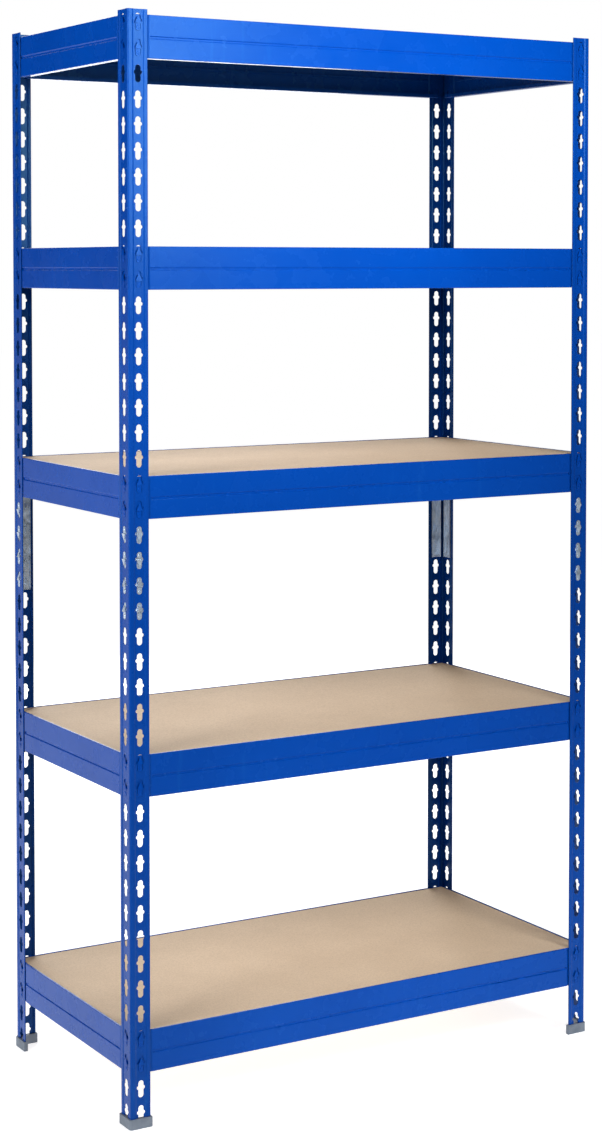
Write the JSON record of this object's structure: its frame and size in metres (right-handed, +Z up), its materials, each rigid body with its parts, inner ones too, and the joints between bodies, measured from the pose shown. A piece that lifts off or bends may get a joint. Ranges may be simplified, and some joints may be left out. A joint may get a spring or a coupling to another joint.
{
  "type": "boltless steel shelving",
  "caption": "Free-standing boltless shelving: keyholed L-section steel uprights, hooked steel beams and loose fibreboard shelves, for storing boxes and tools.",
  "frame": {"origin": "centre of the footprint, on the floor", "axes": "+X along the width to the right, +Y to the back, +Z up"},
  "size_m": [0.9048, 0.4548, 1.763],
  "materials": {
    "post_paint": "semi-gloss powder coat",
    "beam_paint": "semi-gloss powder coat",
    "zinc": "galvanised",
    "foot_plastic": "matt moulded",
    "board": "raw fibreboard"
  },
  "bodies": {
    "uprights": {"post_front_left_upper": "post_paint", "post_front_left_lower": "post_paint", "splice_front_left_wide_face": "zinc", "splice_front_left_end_face": "zinc", "foot_front_left": "foot_plastic", "post_front_right_upper": "post_paint", "post_front_right_lower": "post_paint", "splice_front_right_wide_face": "zinc", "splice_front_right_end_face": "zinc", "foot_front_right": "foot_plastic", "post_back_left_upper": "post_paint", "post_back_left_lower": "post_paint", "splice_back_left_wide_face": "zinc", "splice_back_left_end_face": "zinc", "foot_back_left": "foot_plastic", "post_back_right_upper": "post_paint", "post_back_right_lower": "post_paint", "splice_back_right_wide_face": "zinc", "splice_back_right_end_face": "zinc", "foot_back_right": "foot_plastic"},
    "tier_1_frame": {"beam_1_front": "beam_paint", "beam_1_right": "beam_paint", "beam_1_back": "beam_paint", "beam_1_left": "beam_paint"},
    "tier_1_board": {"board_1": "board"},
    "tier_2_frame": {"beam_2_front": "beam_paint", "beam_2_right": "beam_paint", "beam_2_back": "beam_paint", "beam_2_left": "beam_paint"},
    "tier_2_board": {"board_2": "board"},
    "tier_3_frame": {"beam_3_front": "beam_paint", "beam_3_right": "beam_paint", "beam_3_back": "beam_paint", "beam_3_left": "beam_paint"},
    "tier_3_board": {"board_3": "board"},
    "tier_4_frame": {"beam_4_front": "beam_paint", "beam_4_right": "beam_paint", "beam_4_back": "beam_paint", "beam_4_left": "beam_paint"},
    "tier_4_board": {"board_4": "board"},
    "tier_5_frame": {"beam_5_front": "beam_paint", "beam_5_right": "beam_paint", "beam_5_back": "beam_paint", "beam_5_left": "beam_paint"},
    "tier_5_board": {"board_5": "board"}
  },
  "joints": [
    {"name": "tier_1_unhook", "type": "slide", "parent": "uprights", "child": "tier_1_frame", "axis": [0, 0, 1], "range_m": [0, 0.0035]},
    {"name": "board_1_lift", "type": "slide", "parent": "tier_1_frame", "child": "tier_1_board", "axis": [0, 0, 1], "range_m": [0, 0.29]},
    {"name": "tier_2_unhook", "type": "slide", "parent": "uprights", "child": "tier_2_frame", "axis": [0, 0, 1], "range_m": [0, 0.0035]},
    {"name": "board_2_lift", "type": "slide", "parent": "tier_2_frame", "child": "tier_2_board", "axis": [0, 0, 1], "range_m": [0, 0.285]},
    {"name": "tier_3_unhook", "type": "slide", "parent": "uprights", "child": "tier_3_frame", "axis": [0, 0, 1], "range_m": [0, 0.0035]},
    {"name": "board_3_lift", "type": "slide", "parent": "tier_3_frame", "child": "tier_3_board", "axis": [0, 0, 1], "range_m": [0, 0.285]},
    {"name": "tier_4_unhook", "type": "slide", "parent": "uprights", "child": "tier_4_frame", "axis": [0, 0, 1], "range_m": [0, 0.0035]},
    {"name": "board_4_lift", "type": "slide", "parent": "tier_4_frame", "child": "tier_4_board", "axis": [0, 0, 1], "range_m": [0, 0.365]},
    {"name": "tier_5_unhook", "type": "slide", "parent": "uprights", "child": "tier_5_frame", "axis": [0, 0, 1], "range_m": [0, 0.0035]},
    {"name": "board_5_lift", "type": "slide", "parent": "tier_5_frame", "child": "tier_5_board", "axis": [0, 0, 1], "range_m": [0, 0.365]}
  ]
}
